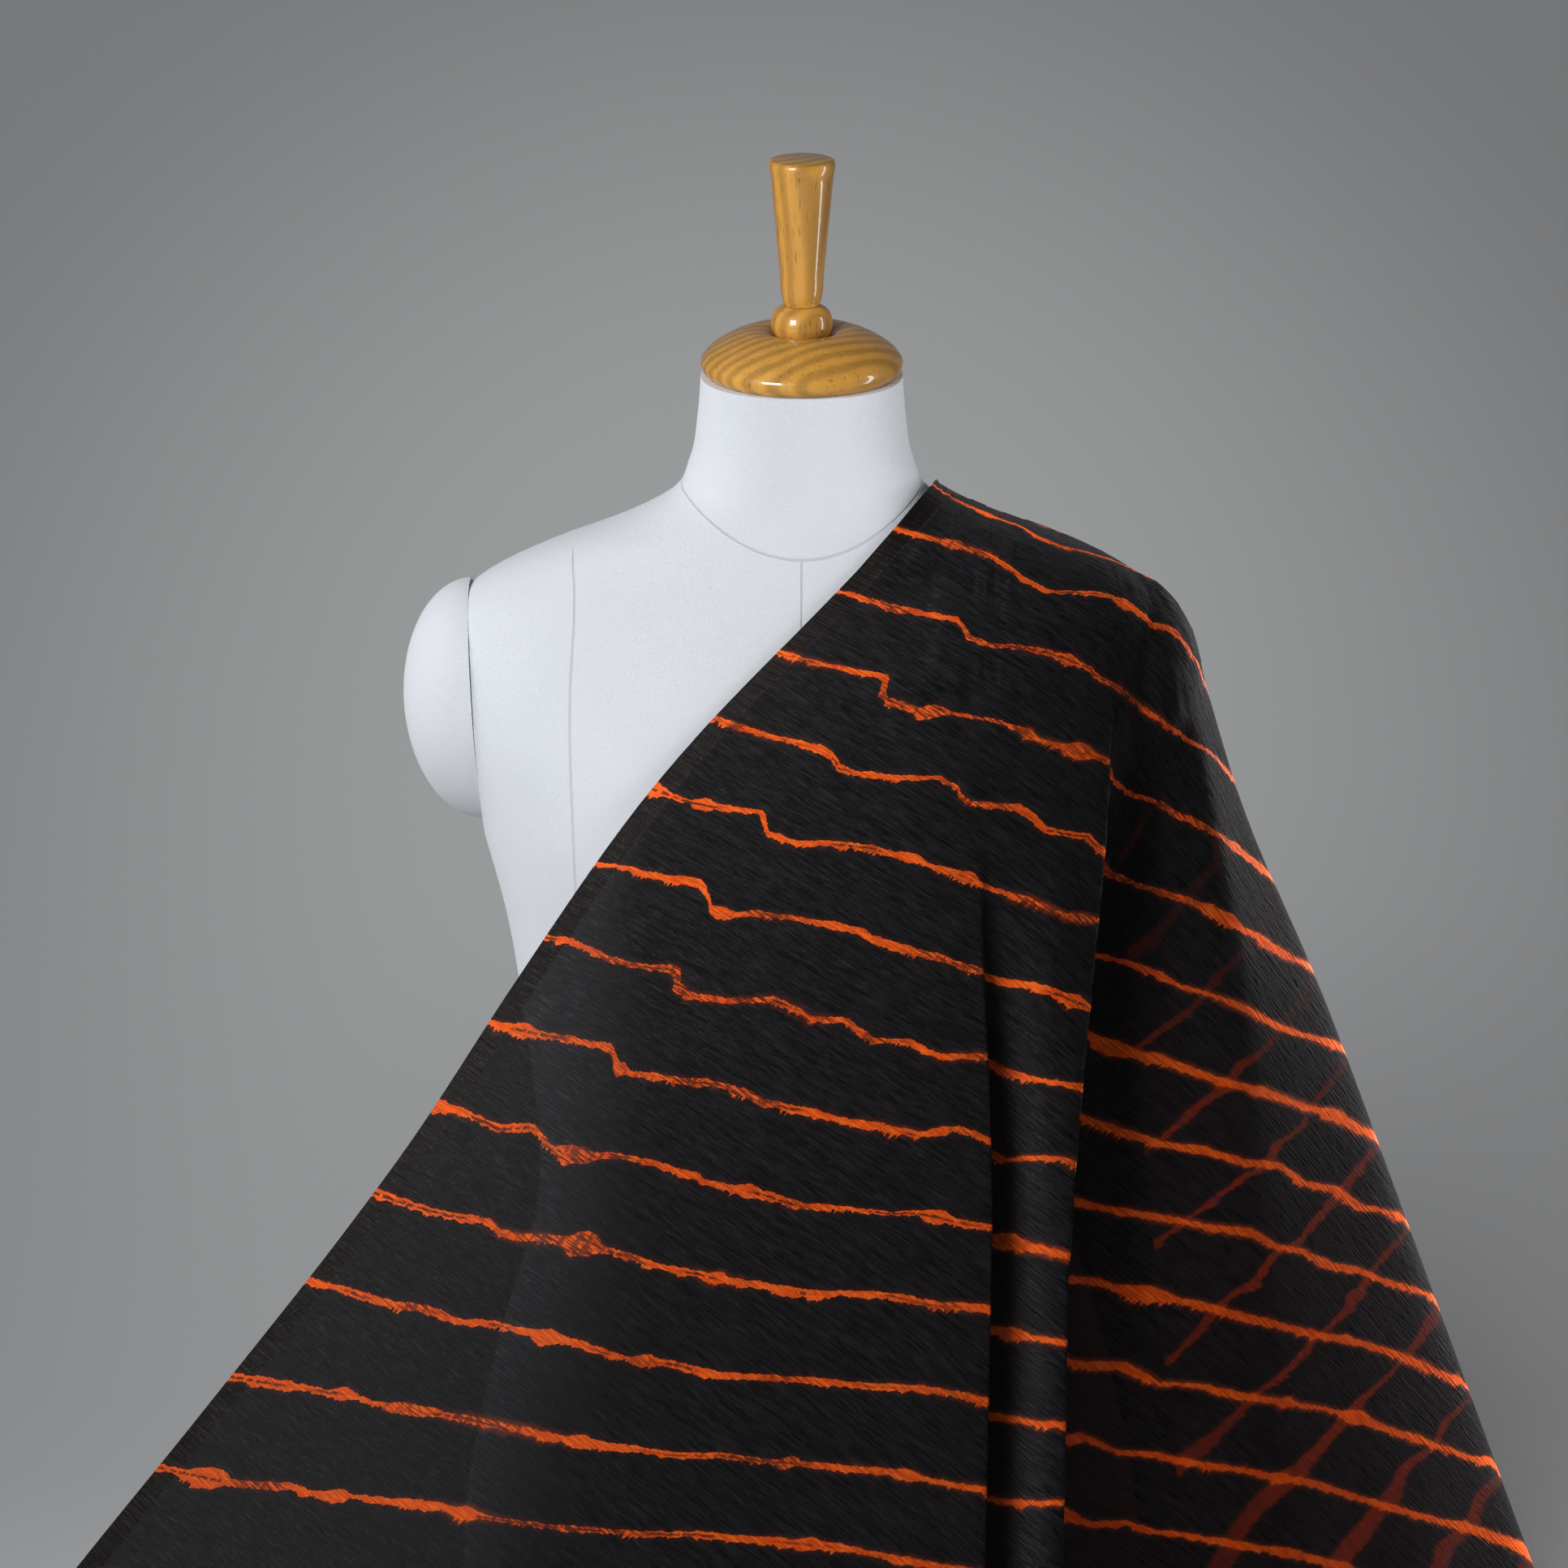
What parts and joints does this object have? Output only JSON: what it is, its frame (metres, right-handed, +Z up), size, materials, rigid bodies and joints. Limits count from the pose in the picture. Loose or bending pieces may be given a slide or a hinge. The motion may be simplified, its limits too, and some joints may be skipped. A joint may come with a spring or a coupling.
{
  "type": "leheriya tie-dye fabric draped on a dress form",
  "caption": "Black and orange tie-dyed silk-blend cloth thrown over one shoulder of a canvas-covered tabletop dress form with a turned wooden cap, ball and handle",
  "frame": {"origin": "the middle of the form's flat underside, on the surface it stands on", "axes": "+Z up; the form faces -Y; the cloth lies over the shoulder on the +X side"},
  "size_m": [0.9832, 0.6468, 0.8297],
  "materials": {
    "leheriya_silk": "semi-sheer crinkled silk blend, black ground with orange resist-dyed lines and a plain dark selvedge",
    "canvas": "plain-woven off-white cotton canvas stretched over the form, seams pressed flat",
    "varnished_wood": "turned hardwood under glossy clear varnish"
  },
  "bodies": {
    "root": {"cloth": "leheriya_silk", "torso": "canvas", "arm_cap_left": "canvas", "arm_cap_right": "canvas", "neck_cap": "varnished_wood", "ball_collar": "varnished_wood", "handle": "varnished_wood"}
  },
  "joints": []
}
